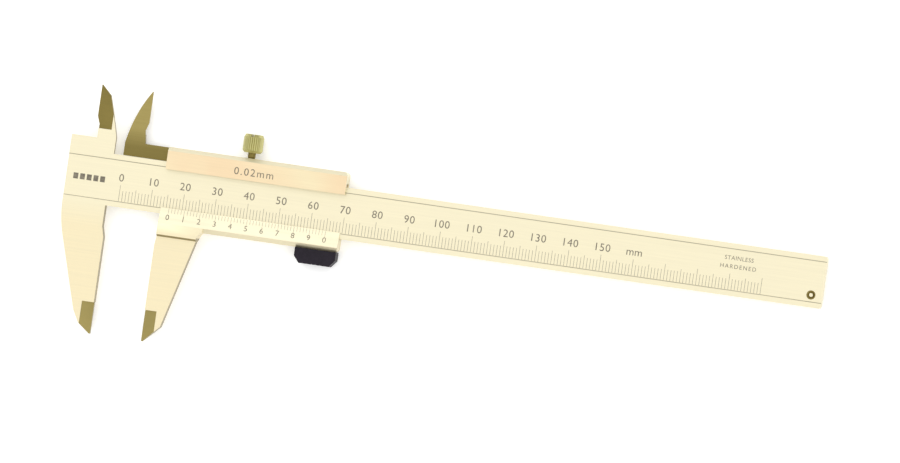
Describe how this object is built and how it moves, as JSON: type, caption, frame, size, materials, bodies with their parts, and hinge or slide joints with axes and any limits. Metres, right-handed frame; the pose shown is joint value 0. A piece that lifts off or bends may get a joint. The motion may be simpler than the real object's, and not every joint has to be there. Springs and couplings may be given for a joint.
{
  "type": "vernier caliper",
  "caption": "Hand-held vernier caliper: graduated bar with fixed outside and inside jaws, and a slider with the moving jaws, a vernier scale, a lock screw and a thumb grip.",
  "frame": {"origin": "centre of the fixed jaw's outside-measuring face, at the bar's mid-thickness", "axes": "+X along the bar, in the direction the slider opens; +Y across the bar, towards the inside jaws; +Z out of the graduated face"},
  "size_m": [0.2362, 0.0763, 0.0068],
  "materials": {
    "satin_steel": "satin chromed stainless steel, warm",
    "dark_steel": "plain steel, oiled",
    "knurled_steel": "knurled, satin",
    "bronze": "plain bronze",
    "black_grip": "black, serrated"
  },
  "bodies": {
    "bar": {"beam": "satin_steel", "end_stop": "satin_steel", "end_stop_rivet": "satin_steel", "end_stop_dowel": "dark_steel"},
    "slider": {"slider": "satin_steel", "back_cover": "satin_steel", "back_cover_screw_upper_left": "dark_steel", "back_cover_screw_upper_right": "dark_steel", "back_cover_screw_lower_left": "dark_steel", "back_cover_screw_lower_right": "dark_steel", "gib_strip": "bronze", "gib_set_screw_left": "dark_steel", "gib_set_screw_right": "dark_steel", "thumb_grip": "black_grip", "thumb_grip_screw_left": "dark_steel", "thumb_grip_screw_right": "dark_steel"},
    "lock_pad": {"lock_pad": "bronze"},
    "lock_screw": {"lock_screw": "knurled_steel"}
  },
  "joints": [
    {"name": "slider_slide", "type": "slide", "parent": "bar", "child": "slider", "axis": [1, 0, 0], "range_m": [-0.01599, 0.1421]},
    {"name": "lock_pad_slide", "type": "slide", "parent": "slider", "child": "lock_pad", "axis": [0, 1, 0], "range_m": [-0.00022, 0.0009]},
    {"name": "lock_screw_turn", "type": "hinge", "parent": "lock_pad", "child": "lock_screw", "pos_m": [0.0417, 0.0455, 0], "axis": [0, 1, 0], "range_deg": [-180, 720]}
  ],
  "couplings": [
    {"joint": "lock_screw_turn", "follows": "lock_pad_slide", "rad_per_m": 13963}
  ]
}
